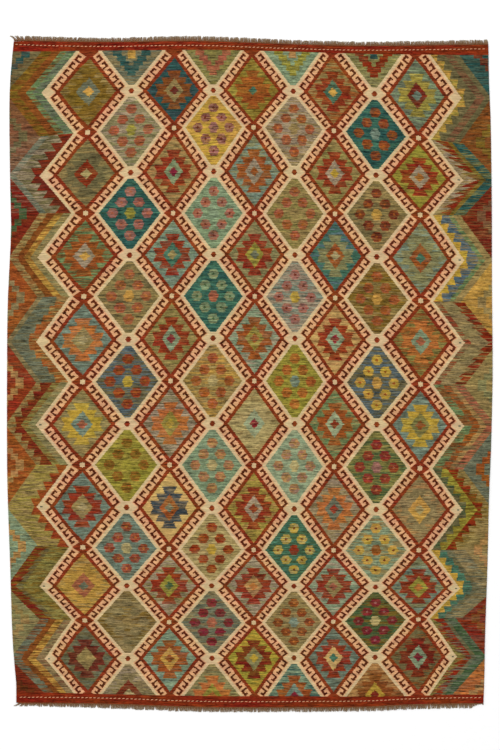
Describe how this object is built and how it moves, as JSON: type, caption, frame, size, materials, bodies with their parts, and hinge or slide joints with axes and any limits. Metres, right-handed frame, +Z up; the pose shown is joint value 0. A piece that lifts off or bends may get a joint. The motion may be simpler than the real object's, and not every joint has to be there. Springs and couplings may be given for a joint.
{
  "type": "kilim rug",
  "caption": "Flat-woven wool kilim rug lying flat, with hand-woven uneven edges and a short warp fringe along both ends.",
  "frame": {"origin": "middle of the underside, on the surface that the rug lies on, which is the middle of the bounding box's base", "axes": "+X across the rug to the right as seen from the near end, +Y along its length towards the far end, +Z up out of its face"},
  "size_m": [2.0404, 2.8376, 0.004],
  "materials": {
    "wool_weave": "weft-faced flat weave in many vegetable-dyed wools, matt",
    "warp_ends": "undyed grey-brown warp yarn, cut short and matted"
  },
  "bodies": {
    "root": {"kilim_cloth": "wool_weave", "far_fringe": "warp_ends", "near_fringe": "warp_ends"}
  },
  "joints": []
}
